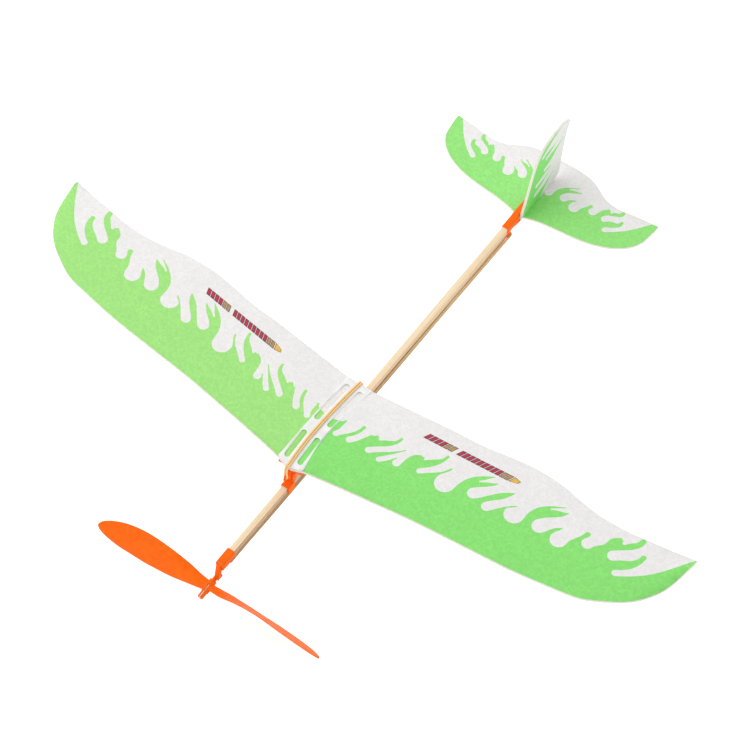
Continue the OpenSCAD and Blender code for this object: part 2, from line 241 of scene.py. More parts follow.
def foam(name, colour, ink=0.0):
    """Foam sheet: pressed beads with slightly different tones, and fine seams between."""
    m = Nodes(name)
    cells = m.add("ShaderNodeTexVoronoi", Vector=m.coords, Scale=1.0 / BEAD)
    seams = m.tree.nodes.new("ShaderNodeTexVoronoi")
    seams.feature = "DISTANCE_TO_EDGE"
    m.put(seams.inputs["Vector"], m.coords)
    seams.inputs["Scale"].default_value = 1.0 / BEAD
    tone = m.add("ShaderNodeSeparateColor", Color=cells.outputs["Color"]).outputs["Red"]
    blotch = m.noise(60.0, 4.0)
    fine = m.noise(2500.0, 2.0)
    base = m.mix(m.span(tone, 0.0, 1.0, 0.0, 0.32 + 0.3 * ink), colour, dim(colour, 0.72))
    base = m.mix(m.span(blotch, 0.35, 0.7, 0.0, 0.3), base, dim(colour, 0.86))
    groove = m.span(seams.outputs["Distance"], 0.0, 0.07, 1.0, 0.0)
    base = m.mix(m.math("MULTIPLY", groove, 0.10 + 0.12 * ink), base, dim(colour, 0.6))
    m.colour(base)
    m.roughness(m.span(fine, 0.3, 0.7, 0.5 - 0.08 * ink, 0.68 - 0.08 * ink))
    pits = m.math("ADD", m.span(seams.outputs["Distance"], 0.0, 0.12), m.math("MULTIPLY", fine, 0.25))
    m.bump(pits, 0.12 * MM, 0.5)
    m.set(Specular_IOR_Level=0.35)
    return m.material


def moulded_plastic(name, colour, shade):
    """Injection-moulded plastic: faint flow streaks, satin, a little light inside."""
    m = Nodes(name)
    flow = m.noise(1.0, 4.0, m.stretched(260.0, 90.0, 260.0))
    fine = m.noise(1800.0, 2.0)
    base = m.mix(m.span(flow, 0.35, 0.75), colour, shade)
    m.colour(base)
    m.roughness(m.span(fine, 0.25, 0.75, 0.42, 0.58))
    m.bump(
        m.math("ADD", m.math("MULTIPLY", flow, 0.6), m.math("MULTIPLY", fine, 0.15)), 0.08 * MM, 0.5,
        m.soft_edges(0.35 * MM))
    m.set(Subsurface_Weight=0.06, Subsurface_Scale=1.0 * MM, Specular_IOR_Level=0.05)
    m.shader.inputs["Subsurface Radius"].default_value = (1.0, 0.3, 0.1)
    return m.material


def wood(name):
    """Pale stripwood with its grain along the stick, and painted shade on its side faces that grows
    towards the nose.
    """
    m = Nodes(name)
    grain = m.noise(1.0, 6.0, m.stretched(1500.0, 22.0, 1500.0), 0.6)
    bands = m.noise(1.0, 3.0, m.stretched(420.0, 7.0, 420.0))
    pores = m.noise(1.0, 2.0, m.stretched(5200.0, 160.0, 5200.0))
    base = m.mix(m.span(bands, 0.3, 0.7), (0.94, 0.78, 0.54), (0.87, 0.67, 0.43))
    base = m.mix(m.span(grain, 0.42, 0.7, 0.0, 0.6), base, (0.76, 0.55, 0.32))
    base = m.mix(m.span(pores, 0.62, 0.75, 0.0, 0.45), base, (0.45, 0.27, 0.13))
    # Painted shade: faces that turn away from upright are darkened towards brown, more near the nose.
    upright = m.part(m.surface("True Normal"), "Z")
    side = m.math("MULTIPLY", m.span(upright, 0.2, 0.8, 1.0, 0.0), m.nose_darkening())
    m.colour(m.mix(side, base, (0.36, 0.19, 0.07)))
    m.roughness(m.span(grain, 0.2, 0.8, 0.55, 0.75))
    m.bump(m.math("ADD", grain, m.math("MULTIPLY", pores, 0.6)), 0.1 * MM, 0.5)
    return m.material


def rubber(name, colour, shade, gloss, clear=0.0, nose_darkening=None):
    """Dusted rubber or tape with fine streaks along it; the last argument, if given, is its darker
    colour near the nose.
    """
    m = Nodes(name)
    dust = m.noise(700.0, 4.0)
    streak = m.noise(1.0, 3.0, m.stretched(2600.0, 60.0, 2600.0))
    base = m.mix(m.span(streak, 0.35, 0.7), colour, shade)
    base = m.mix(m.span(dust, 0.5, 0.75, 0.0, 0.3), base, dim(colour, 1.15))
    if nose_darkening is not None:
        base = m.mix(m.nose_darkening(), base, nose_darkening)
    m.colour(base)
    m.roughness(m.span(dust, 0.3, 0.7, gloss, gloss + 0.2))
    m.bump(m.math("ADD", dust, streak), 0.05 * MM, 0.4)
    m.set(Subsurface_Weight=0.2, Subsurface_Scale=0.8 * MM, Transmission_Weight=clear)
    return m.material


def white_plastic(name):
    """Smooth satin plastic with faint clouds."""
    m = Nodes(name)
    cloud = m.noise(140.0, 4.0)
    fine = m.noise(2200.0, 2.0)
    m.colour(m.mix(m.span(cloud, 0.35, 0.7), (0.9, 0.9, 0.88), (0.8, 0.81, 0.8)))
    m.roughness(m.span(fine, 0.3, 0.7, 0.32, 0.48))
    m.bump(m.math("ADD", m.math("MULTIPLY", cloud, 0.5), m.math("MULTIPLY", fine, 0.2)), 0.06 * MM, 0.4)
    m.set(Subsurface_Weight=0.15, Subsurface_Scale=1.0 * MM, Coat_Weight=0.1)
    return m.material


def metal(name, colour, shade, gloss):
    """Drawn wire with fine scratches along it."""
    m = Nodes(name)
    scratch = m.noise(1.0, 3.0, m.stretched(9000.0, 500.0, 9000.0))
    m.colour(m.mix(m.span(scratch, 0.35, 0.7), colour, shade))
    m.roughness(m.span(scratch, 0.3, 0.7, gloss, gloss + 0.15))
    m.bump(scratch, 0.02 * MM, 0.3)
    m.set(Metallic=1.0)
    return m.material


def floor_paint(name):
    """A pale floor that lights itself a little, so that it shows next to no shadow."""
    m = Nodes(name)
    cloud = m.noise(3.0, 2.0)
    m.colour(m.mix(m.span(cloud, 0.3, 0.7), (0.93, 0.93, 0.93), (0.91, 0.91, 0.91)))
    m.set(Roughness=0.9, Specular_IOR_Level=0.0, Emission_Strength=0.48)
    m.shader.inputs["Emission Color"].default_value = (1.0, 1.0, 1.0, 1.0)
    return m.material


# ---------------------------------------------------------------- meshes

def add_object(name, bm, materials, sharp_angle=40.0):
    """Makes an object of a finished bmesh, smooth but for its sharp edges."""
    bmesh.ops.recalc_face_normals(bm, faces=bm.faces)
    for face in bm.faces:
        face.smooth = True
    limit = math.radians(sharp_angle)
    for edge in bm.edges:
        if len(edge.link_faces) == 2 and edge.calc_face_angle(0.0) > limit:
            edge.smooth = False
    mesh = bpy.data.meshes.new(name)
    bm.to_mesh(mesh)
    bm.free()
    for material in materials:
        mesh.materials.append(material)
    obj = bpy.data.objects.new(name, mesh)
    bpy.context.collection.objects.link(obj)
    return obj


def inside(polygon, x, y):
    """Whether a point lies inside a polygon."""
    hit = False
    j = len(polygon) - 1
    for i, (xi, yi) in enumerate(polygon):
        xj, yj = polygon[j]
        if (yi > y) != (yj > y) and x < (xj - xi) * (y - yi) / (yj - yi) + xi:
            hit = not hit
        j = i
    return hit


LONGEST_CORNER = 2.0


def outward(before, point, after, turn=1.0):
    """The direction out of a corner, and how much further its tip goes than its sides."""
    arriving, leaving = point - before, after - point
    n1 = Vector((arriving.y, -arriving.x)).normalized() * turn
    n2 = Vector((leaving.y, -leaving.x)).normalized() * turn
    mean = n1 + n2
    if mean.length < 1e-6:
        mean = n1
    mean.normalize()
    return mean, min(1.0 / max(mean.dot(n1), 1e-3), LONGEST_CORNER)


def pushed(polygon, amount):
    """The polygon with each corner moved outwards, or inwards for a negative amount."""
    n = len(polygon)
    area = sum(
        polygon[i - 1][0] * polygon[i][1] - polygon[i][0] * polygon[i - 1][1] for i in range(n))
    turn = 1.0 if area > 0 else -1.0
    moved = []
    for i in range(n):
        a, b, c = (Vector(polygon[k % n]) for k in (i - 1, i, i + 1))
        mean, step = outward(a, b, c, turn)
        moved.append(tuple(b + mean * amount * step))
    return moved


def staggered_points(outline, spacing):
    """A grid of points inside an outline, every other column half a step further."""
    us = [p[0] for p in outline]
    vs = [p[1] for p in outline]
    rows = int((max(vs) - min(vs)) / spacing) + 1
    columns = int((max(us) - min(us)) / spacing) + 1
    points = []
    for i in range(columns):
        for j in range(rows):
            u = min(us) + (i + 0.5) * spacing
            v = min(vs) + (j + 0.5 * (i % 2)) * spacing
            if inside(outline, u, v):
                points.append(Vector((u, v)))
    return points


def triangles_between(outline, holes, lines, spacing):
    """The flat points of a sheet, and its triangles with their centres. Triangles keep to
    the outline, the holes and the lines."""
    points, edges = [], []

    def chain(line, closed):
        start = len(points)
        points.extend(Vector(p) for p in line)
        count = len(line)
        edges.extend((start + i, start + i + 1) for i in range(count - 1))
        if closed:
            edges.append((start + count - 1, start))
        return list(range(start, start + count))

    rim = chain(outline, True)
    for hole in holes:
        chain(hole, True)
    for line in lines:
        chain(line, False)
    points.extend(staggered_points(outline, spacing))
    flat, _, triangles, _, _, _ = delaunay_2d_cdt(points, edges, [rim], 1, 1e-5)
    kept = []
    for tri in triangles:
        u = sum(flat[i][0] for i in tri) / len(tri)
        v = sum(flat[i][1] for i in tri) / len(tri)
        if inside(outline, u, v) and not any(inside(hole, u, v) for hole in holes):
            kept.append((tri, u, v))
    return flat, kept


def rim_order(triangles):
    """For each point on the rim, the next one: a rim edge is used in one direction only."""
    uses = {}
    for tri in triangles:
        for i in range(len(tri)):
            uses[(tri[i - 1], tri[i])] = True
    return {a: b for a, b in uses if (b, a) not in uses}


def sheet_mesh(bm, outline, place, thick, spacing, lines=(), holes=(), ink=None, cut=0, edge=0.3):
    """A sheet with softly rounded edges. place(u, v, depth) gives a point below its upper
    face. lines are printed outlines that the faces follow, ink(u, v) gives the material
    number of a face, and cut is that of the edges. The lower face has material 0."""
    narrowed = [pushed(hole, edge) for hole in holes]
    flat, kept = triangles_between(pushed(outline, -edge), narrowed, lines, spacing)
    rim_next = rim_order([tri for tri, _, _ in kept])
    rim_last = {b: a for a, b in rim_next.items()}
    out = {}
    for i, after in rim_next.items():
        mean, step = outward(flat[rim_last[i]], flat[i], flat[after])
        out[i] = flat[i] + mean * edge * step
    used = sorted({i for tri, _, _ in kept for i in tri})
    top = {i: bm.verts.new(place(flat[i][0], flat[i][1], 0.0)) for i in used}
    low = {i: bm.verts.new(place(flat[i][0], flat[i][1], thick)) for i in used}
    rings = [top]
    for depth in (edge, thick - edge):
        rings.append({i: bm.verts.new(place(out[i][0], out[i][1], depth)) for i in out})
    rings.append(low)
    for tri, u, v in kept:
        face = bm.faces.new([top[i] for i in tri])
        face.material_index = ink(u, v) if ink else 0
        bm.faces.new([low[i] for i in reversed(tri)])
    for upper, lower in zip(rings, rings[1:]):
        for a, b in rim_next.items():
            face = bm.faces.new([upper[b], upper[a], lower[a], lower[b]])
            face.material_index = cut


def skin(bm, rings, loop=False):
    """Joins closed rings of the same number of points, with a cap at each end or as a loop."""
    n = len(rings[0])
    pairs = list(zip(rings, rings[1:]))
    if loop:
        pairs.append((rings[-1], rings[0]))
    for a, b in pairs:
        for i in range(n):
            k = (i + 1) % n
            bm.faces.new((a[i], a[k], b[k], b[i]))
    if not loop:
        bm.faces.new(list(reversed(rings[0])))
        bm.faces.new(rings[-1])


def sweep(bm, path, section, up, loop=False):
    """Draws a flat section along a path; section gives (side, up) pairs in millimetres."""
    n = len(path)
    rings = []
    for i, p in enumerate(path):
        before = path[i - 1] if (i or loop) else p
        after = path[(i + 1) % n] if (i < n - 1 or loop) else p
        forward = (after - before).normalized()
        high = up(i) if callable(up) else up
        side = forward.cross(high).normalized()
        high = side.cross(forward).normalized()
        rings.append([bm.verts.new(p + (side * s + high * h) * MM) for s, h in section])
    skin(bm, rings, loop=loop)


ROUND_STEPS = 3


def rounded_rect(w, h, r):
    """A rectangle with round corners, in millimetres."""
    points = []
    for cx, cy, start in ((1, 1, 0), (-1, 1, 90), (-1, -1, 180), (1, -1, 270)):
        for i in range(ROUND_STEPS + 1):
            a = math.radians(start + 90.0 * i / ROUND_STEPS)
            points.append((cx * (w / 2 - r) + r * math.cos(a), cy * (h / 2 - r) + r * math.sin(a)))
    return points


# ---------------------------------------------------------------- curves

def along(points, x):
    """Smooth curve through points that are sorted by their first value."""
    i = 0
    while i < len(points) - 2 and x > points[i + 1][0]:
        i += 1

    def slope(k):
        a, b = max(k - 1, 0), min(k + 1, len(points) - 1)
        return (points[b][1] - points[a][1]) / (points[b][0] - points[a][0])

    width = points[i + 1][0] - points[i][0]
    t = (x - points[i][0]) / width
    m0 = slope(i) * width
    m1 = slope(i + 1) * width
    return (
        (2 * t ** 3 - 3 * t ** 2 + 1) * points[i][1] + (t ** 3 - 2 * t ** 2 + t) * m0
        + (3 * t ** 2 - 2 * t ** 3) * points[i + 1][1] + (t ** 3 - t ** 2) * m1)


def steps(a, b, n):
    """n + 1 even values from a to b."""
    return [a + (b - a) * i / n for i in range(n + 1)]


def bezier(p0, p1, p2, p3, n):
    """The points between the ends of a cubic curve."""
    out = []
    for i in range(1, n):
        t = i / n
        s = 1 - t
        out.append(tuple(
            s ** 3 * p0[k] + 3 * s * s * t * p1[k] + 3 * s * t * t * p2[k] + t ** 3 * p3[k]
            for k in (0, 1)))
    return out


TIP_R = 0.45
SMALL_R = 1.5
BEND_REACH = 0.42


def flames(marks):
    """One line round a row of flames. Each mark is (x, y, lean, radius, other lean), where
    the last two may be left out. A positive radius is a round hollow with its centre at
    x, y, a negative one is a blunt tip, and 0 is a point that the line passes. Lean is in
    degrees, outwards from straight back, and the other lean is that of the line leaving."""
    line = []
    nodes = []
    for mark in marks:
        x, y, lean = mark[:3]
        radius = mark[3] if len(mark) > 3 else -TIP_R
        back = heading(lean)
        leaving = heading(mark[4]) if len(mark) > 4 else back
        out = (back[1], -back[0])
        r = abs(radius)
        turn = 1.0 if radius > 0 else -1.0
        count = 10 if r > SMALL_R else 5
        arc = []
        for i in range(count + 1 if r else 1):
            t = math.pi * i / count
            side = -math.cos(t) * r
            deep = -math.sin(t) * r * turn
            arc.append((x + out[0] * side + back[0] * deep, y + out[1] * side + back[1] * deep))
        arrive, leave = (-turn, turn) if radius else (1.0, 1.0)
        nodes.append((
            arc, (back[0] * arrive, back[1] * arrive), (leaving[0] * leave, leaving[1] * leave)))
    for (arc_a, _, leave), (arc_b, arrive, _) in zip(nodes, nodes[1:]):
        p0, p3 = arc_a[-1], arc_b[0]
        reach = BEND_REACH * math.dist(p0, p3)
        p1 = (p0[0] + leave[0] * reach, p0[1] + leave[1] * reach)
        p2 = (p3[0] - arrive[0] * reach, p3[1] - arrive[1] * reach)
        line.extend(arc_a)
        line.extend(bezier(p0, p1, p2, p3, 9))
    line.extend(nodes[-1][0])
    return line


def heading(lean):
    """The direction that leans outwards from straight back by an angle in degrees."""
    a = math.radians(lean)
    return (math.sin(a), math.cos(a))


def smooth(points, n):
    """A curve through all points, with n steps between each two."""
    out = []
    last = len(points) - 1
    for i in range(last):
        p0, p1, p2, p3 = (Vector(points[k]) for k in (max(i - 1, 0), i, i + 1, min(i + 2, last)))
        for j in range(n):
            t = j / n
            out.append(0.5 * (
                2 * p1 + (p2 - p0) * t + (2 * p0 - 5 * p1 + 4 * p2 - p3) * t * t
                + (3 * p1 - p0 - 3 * p2 + p3) * t ** 3))
    out.append(Vector(points[-1]))
    return out


# ---------------------------------------------------------------- wing shape

HALF_SPAN = 250.0
FOAM = 2.0
DIHEDRAL = 0.044
TIP_CURL = 3.75
INCIDENCE = 0.026
ROOT_CAMBER = 5.5
OUTER_CAMBER = 1.5
CAMBER_PEAK = 0.38
CAMBER_FADE = 70.0
JOINER_HALF = 9.8
WEB_HALF = 0.6
WING_LE = [
    (0, 0), (27, 4.5), (55, 8.5), (92, 13), (129, 16), (159, 18.5), (187, 22.5),
    (203, 25.5), (214, 30.5), (229, 40), (238, 50), (245, 64), (250, 89)]
WING_TE = [
    (0, 77), (45, 81), (72, 83.5), (92, 84.5), (112, 87.5), (130, 89.5), (152, 88.5),
    (166, 85.5), (183, 83), (203, 83), (214, 84.5), (231, 86.5), (250, 89.5)]


def face_z(x, y):
    """Height of the wing's upper face."""
    x = abs(x)
    out = max(x - JOINER_HALF, 0.0) * HALF_SPAN / (HALF_SPAN - JOINER_HALF)
    front, back = along(WING_LE, out), along(WING_TE, out)
    v = (y - front) / (back - front)
    camber = OUTER_CAMBER + (ROOT_CAMBER - OUTER_CAMBER) * math.exp(-out / CAMBER_FADE)
    if v < CAMBER_PEAK:
        shape = 1 - ((CAMBER_PEAK - v) / CAMBER_PEAK) ** 2
    else:
        shape = 1 - ((v - CAMBER_PEAK) / (1 - CAMBER_PEAK)) ** 2
    return DIHEDRAL * x + TIP_CURL * (x / HALF_SPAN) ** 2 - INCIDENCE * y + camber * max(shape, -1.0)


# ---------------------------------------------------------------- printed patterns

WING_FLAMES = [
    (0.0, 41.0, 0, 1.5), (11.2, 47.0, 10, -0.7), (11.6, 35.2, 35, 2.0),
    (23.6, 50.2, 5, -1.1), (21.4, 36.6, 40, 2.3),
    (31.2, 48.4, 30, -0.3), (34.8, 50.2, 55, -0.3, 30), (37.0, 48.2, 45, 0.6),
    (48.2, 57.2, 6, -1.0), (35.8, 37.6, 46, 2.2),
    (55.4, 51.6, 38, -0.4), (45.3, 35.8, 44, 1.9),
    (54.0, 43.4, 30, -0.4, 10), (56.0, 40.4, 4, 2.8),
    (66.2, 54.3, 72, -0.3, 40), (69.2, 53.6, 40, 1.0), (80.0, 63.6, 6, -1.0), (71.3, 43.8, 45, 1.9),
    (87.2, 57.2, 22, -0.6, 15), (89.6, 45.8, 4, 6.8),
    (113.2, 68.2, 62, -0.3, 50), (107.2, 60.0, 52, 0.6), (117.4, 64.8, 60, -0.4, 35),
    (108.6, 50.2, 45, 4.0),
    (130.0, 65.0, 62, -0.4, 18), (120.8, 46.9, 40, 3.4),
    (136.5, 58.0, 55, -0.3, 30), (138.2, 52.0, -5, 6.6),
    (162.2, 75.0, 64, -0.3, 55), (155.4, 69.0, 55, 0.6), (165.8, 72.2, 62, -0.4, 25),
    (155.9, 54.0, 32, 5.0),
    (168.6, 60.9, 60, -0.3, 15), (171.0, 52.6, 2, 5.6),
    (183.9, 66.4, 10, -1.8), (187.2, 60.6, 18, 3.9),
    (196.6, 68.6, 2, 0), (203.0, 76.2, 62, -0.3, -5), (205.8, 74.0, 30, 1.2),
    (214.9, 82.0, 5, -1.9), (204.8, 62.2, 48, 3.6),
    (221.2, 71.8, 5, -1.7), (212.4, 52.4, 60, 2.2), (250.0, 91.0, 34, 0)]
TAIL_FLAMES = [
    (0.0, 306.0, 0), (6.0, 296.0, 0, 3.2), (22.3, 310.8, 62),
    (17.6, 306.8, 50, 0.6), (25.5, 308.6, 48), (17.8, 298.0, 20, 3.2),
    (26.0, 300.5, 50), (28.0, 295.0, 5, 4.0),
    (37.3, 302.8, 15, -1.4), (40.8, 299.8, 10, 3.2),
    (49.5, 308.0, 45), (52.0, 306.8, 20, 0.8), (59.3, 311.0, -5, -1.4), (51.0, 299.2, 28, 2.6),
    (62.8, 303.2, 0, -1.3), (56.0, 291.4, 55, 2.0), (86.0, 322.0, 38, 0)]
# On the fin the first value is the distance aft and the second the height above its foot.
FIN_FLAMES = [
    (312.0, 59.6, 82, -0.2), (287.0, 47.2, 62, 1.6), (304.5, 48.5, 70), (291.5, 41.0, 75, 1.3),
    (313.0, 44.0, 68), (291.5, 29.5, 80, 2.0), (298.5, 27.0, 80), (282.0, 20.6, 80, 2.2),
    (298.0, 21.5, 68), (281.0, 11.5, 82, 2.2), (303.0, 15.0, 65), (288.0, -12.0, 85)]

# Material numbers on a foam sheet: its inks, and the bare foam of its cut edges.
WHITE, GREEN, AMBER, TAN, MAROON, DARK, CUT = range(7)

# Speed stripe near the trailing edge: a pointed end, then two rows of slanted dashes.
STRIPE_LENGTH = 66.5
STRIPE_POINT = 5.4
# Each row's start, number of dashes and pitch; its first dashes are tan.
STRIPE_ROWS = [(6.0, 11, 3.35), (45.6, 6, 3.5)]
TAN_DASHES = 2
STRIPE_HALF = 2.5
STRIPE_GAP = 0.35
STRIPE_BORDER = 0.42
STRIPE_SLANT = 1.3
STRIPE_TAPER = 0.45


def stripe_parts():
    """The stripe's parts as (start, end, ink)."""
    parts = [(0.0, STRIPE_POINT, AMBER)]
    for start, count, pitch in STRIPE_ROWS:
        for i in range(count):
            number = TAN if i < TAN_DASHES else MAROON
            parts.append((start + i * pitch, start + (i + 1) * pitch - STRIPE_GAP, number))
    return parts


def stripe_blocks(start, end, flip):
    """Outlines of the stripe's parts between two points of the panel, with their ink."""
    run = Vector((end[0] - start[0], end[1] - start[1]))
    k = run.length / STRIPE_LENGTH
    run.normalize()
    across = Vector((-run.y, run.x))
    blocks = []
    for a, b, ink in stripe_parts():
        if flip:
            a, b = STRIPE_LENGTH - b, STRIPE_LENGTH - a
        for inset, number in ((0.0, DARK), (STRIPE_BORDER, ink)):
            half = STRIPE_HALF - inset
            lean = STRIPE_SLANT * half / STRIPE_HALF
            corners = []
            for s, t in ((a + inset, -1), (b - inset, -1), (b - inset, 1), (a + inset, 1)):
                taper = STRIPE_TAPER if ink == AMBER and (s < (a + b) / 2) != flip else 1.0
                corners.append(tuple(
                    Vector(start) + run * (s * k + lean * t * taper)
                    + across * (half * t * taper)))
            blocks.append((corners, number))
    return blocks


def printed(line, far_corners, blocks=()):
    """The ink under a point: green on the leading side of the flames, then the stripe."""
    green = line + far_corners
    turned = list(reversed(blocks))

    def ink(u, v):
        for corners, number in turned:
            if inside(corners, u, v):
                return number
        return GREEN if inside(green, u, v) else WHITE

    return ink


def closed_line(corners):
    """The corners with the first one again at the end."""
    return list(corners) + [corners[0]]


# ---------------------------------------------------------------- foam pieces

def stand_for(piece, body, node):
    """Makes a piece take a CAD node's place on a body."""
    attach(piece, body)
    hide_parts(node)


def wing_panel(name, side, materials, stripe):
    """One foam panel: side is 1 to port and -1 to starboard."""
    stations = [WEB_HALF] + steps(4.0, 200.0, 49) + steps(203.0, 239.0, 18) + steps(
        240.5, 249.4, 12)
    outline = [(x, along(WING_LE, x)) for x in stations]
    outline += [(x, along(WING_TE, x)) for x in reversed(stations)]
    line = flames(WING_FLAMES)
    blocks = stripe_blocks(*stripe)
    ink = printed(line, [(260.0, 92.0), (260.0, -10.0), (-5.0, -10.0), (-5.0, 41.0)], blocks)
    bm = bmesh.new()
    sheet_mesh(
        bm, outline, lambda u, v, depth: at(side * u, v, face_z(u, v) - depth), FOAM, 4.5,
        lines=[line] + [closed_line(corners) for corners, _ in blocks], ink=ink, cut=CUT)
    stand_for(add_object(name + "_foam", bm, materials), "wing_unit", name)


TAIL_Z = -23.5
TAIL_HALF = 85.6
TAIL_LE = [
    (0, 266), (15, 270), (45, 273.5), (58, 276.5), (70, 282), (80, 291), (84.6, 302),
    (85.6, 315.5)]
TAIL_TE = [
    (0, 325), (13, 325), (26, 323), (35, 318.5), (42, 314.5), (53, 312.5), (69, 314.5),
    (85.6, 316)]
FIN_X = 1.9
FIN_FRONT = [(0, 264), (13, 269), (26, 273), (42, 278), (52, 284), (57, 291), (59.5, 300)]
FIN_BACK = [
    (0, 305), (4, 310.5), (22, 314), (40, 316), (52, 319), (56, 319.5), (59.5, 312)]
FIN_H = 59.5


def tailplane(materials):
    """One foam sheet with the same print on both halves."""
    xs = steps(-TAIL_HALF + 0.3, TAIL_HALF - 0.3, 90)
    outline = [(x, along(TAIL_LE, abs(x))) for x in xs]
    outline += [(x, along(TAIL_TE, abs(x))) for x in reversed(xs)]
    line = flames(TAIL_FLAMES)
    mirrored = [(-x, y) for x, y in line]
    half_ink = printed(line, [(95.0, 322.0), (95.0, 250.0), (-1.0, 250.0), (-1.0, 306.0)])
    bm = bmesh.new()
    sheet_mesh(
        bm, outline, lambda u, v, depth: at(u, v, TAIL_Z - depth), FOAM, 4.5,
        lines=[line, mirrored], ink=lambda u, v: half_ink(abs(u), v), cut=CUT)
    stand_for(add_object("tailplane_foam", bm, materials), "airframe", "tailplane")


def fin(materials):
    """One upright foam sheet, printed on its port side."""
    heights = steps(0.0, FIN_H, 44)
    outline = [(along(FIN_FRONT, h), h) for h in heights]
    outline += [(along(FIN_BACK, h), h) for h in reversed(heights)]
    line = flames(FIN_FLAMES)
    ink = printed(line, [(240.0, -12.0), (240.0, 75.0), (302.0, 75.0)])
    bm = bmesh.new()
    sheet_mesh(
        bm, outline, lambda u, v, depth: at(FIN_X + FOAM - depth, u, TAIL_Z + v), FOAM, 4.0,
        lines=[line], ink=ink, cut=CUT)
    stand_for(add_object("fin_foam", bm, materials), "airframe", "fin")


# ---------------------------------------------------------------- joiner and band

FIT = 0.1
PLATE = 0.8
JOINER_FRONT = -0.4
JOINER_REAR = 77.6
SLOT_HALF = 1.9
SLOT_X = 5.2
SLOTS = [(4.0, 25.5), (36.0, 72.0)]
JOINER_CORNER_R = 1.2
JOINER_EDGE = 0.22
WEB_T = 1.0
WEB_INSET = 0.8


def slot_outline(x, y0, y1):
    """A slot with round ends."""
    points = []
    for y, start in ((y1 - SLOT_HALF, 0), (y0 + SLOT_HALF, 180)):
        for a in steps(start, start + 180, 12):
            angle = math.radians(a)
            points.append((x + SLOT_HALF * math.cos(angle), y + SLOT_HALF * math.sin(angle)))
    return points


def corner(x, y, r, start):
    """A quarter circle of radius r about the point x, y."""
    return [
        (x + r * math.cos(math.radians(a)), y + r * math.sin(math.radians(a)))
        for a in steps(start, start + 90, 5)]


def wing_joiner(material):
    """An upper and a lower slotted plate on a web between the two panels."""
    half = JOINER_HALF
    r = JOINER_CORNER_R
    outline = corner(half - r, JOINER_REAR - r, r, 0) + corner(-half + r, JOINER_REAR - r, r, 90)
    outline += [(-half, 2.6), (-half + 0.5, 1.7), (-2.0, JOINER_FRONT)]
    outline += [(2.0, JOINER_FRONT), (half - 0.5, 1.7), (half, 2.6)]
    holes = [slot_outline(x, *ends) for x in (-SLOT_X, SLOT_X) for ends in SLOTS]
    bm = bmesh.new()
    for top in (FIT + PLATE, -FOAM - FIT):
        sheet_mesh(
            bm, outline,
            lambda u, v, depth: at(u, v, face_z(0, v) + DIHEDRAL * abs(u) + top - depth),
            PLATE, 3.0, holes=holes, edge=JOINER_EDGE)
    low = -FOAM - FIT - PLATE / 2
    high = FIT + PLATE / 2
    web = [(x * WEB_T / 2, z) for x, z in ((1, low), (1, high), (-1, high), (-1, low))]
    skin(bm, [
        [bm.verts.new(at(x, y, face_z(0, y) + z)) for x, z in web]
        for y in steps(JOINER_FRONT + WEB_INSET, JOINER_REAR - WEB_INSET, 30)])
    piece = add_object("wing_joiner_plates", bm, [material])
    stand_for(piece, "wing_unit", "wing_joiner")


BAND_X = 1.0
BAND_CLOSE = 0.7
BAND_W = 1.15
BAND_T = 1.0
BAND_GAP = 0.22
BAND_EDGE_R = 0.22
BAND_Z = FIT + PLATE + BAND_GAP + BAND_T / 2
BAND_FRONT = (-3.6, -9.2)
BAND_REAR = (78.9, -11.75)


def wing_band(material):
    """The closed band: a strand on each side of the centreline and a bend under each horn."""
    over = [(y, face_z(0, y) + BAND_Z) for y in steps(1.4, 77.2, 16)]
    side_view = smooth(
        [BAND_FRONT, (-3.4, -6), (-3.1, -2.6), (-2.3, 0.4), (-1, 1.7)] + over
        + [(78.5, face_z(0, 77) + BAND_Z - 0.4), (79.2, -2), (79.4, -4), (79.3, -7.5), BAND_REAR], 4)
    last = len(side_view) - 1
    strand = []
    for i, p in enumerate(side_view):
        d = side_view[min(i + 1, last)] - side_view[max(i - 1, 0)]
        spread = math.exp(min(p.y + 2.5, 0.0) / -3.0) - 1.0
        x = min(BAND_CLOSE + 0.12 * spread, BAND_X)
        strand.append((x, p.x, p.y, Vector((0, -d.y, d.x)).normalized()))

    def bend(place, up, start):
        return [
            (at(start * BAND_X * math.cos(a), place[0], place[1] - BAND_X * math.sin(a)), up)
            for a in steps(0, math.pi, 12)[1:-1]]

    path = [(at(x, y, z), up) for x, y, z, up in strand]
    path += bend(BAND_REAR, Vector((0, 1, 0)), 1)
    path += [(at(-x, y, z), up) for x, y, z, up in reversed(strand)]
    path += bend(BAND_FRONT, Vector((0, -1, 0)), -1)
    bm = bmesh.new()
    sweep(
        bm, [p for p, _ in path], rounded_rect(BAND_W, BAND_T, BAND_EDGE_R),
        lambda i: path[i][1], loop=True)
    stand_for(add_object("wing_band_rubber", bm, [material]), "wing_unit", "wing_band")


# ---------------------------------------------------------------- propeller and motor

HUB = (-1.3, -84.5, -35.2)
SIDE_THRUST = math.radians(1.6)
PROP_R = 88.0
PROP_TURN = math.radians(2.5)
HUB_R = 2.5
HUB_HALF = 4.9
NOSE_R = 2.0
NOSE_FRONT = -9.8
WIRE_R = 0.4
FOLD_Z = 1.6
FOLD_REAR = 0.6
SHAFT_FRONT = -9.0
HOOK_REAR = 22.8
CUT_FRONT = -12.0
GROOVE_GAP = 0.05
GROOVE_HEIGHT = 6.0
BLADE_CHORD = [
    (0, 6.5), (10, 10), (20, 15.4), (30, 20.2), (40, 23.1), (50, 24), (60, 22.6), (70, 19.7),
    (78, 14.8), (83, 10.4), (86, 6.6), (87.5, 3.4), (88, 1.5)]
BLADE_LEAD = [(0, 0), (15, 0.3), (30, 1.2), (45, 0.8), (60, 0), (70, 0.3), (88, 1.2)]
BLADE_PITCH = [
    (0, 60), (10, 49.5), (20, 35), (30, 28.4), (40, 26), (50, 26.6), (60, 27.8), (70, 29),
    (78, 31), (88, 34)]
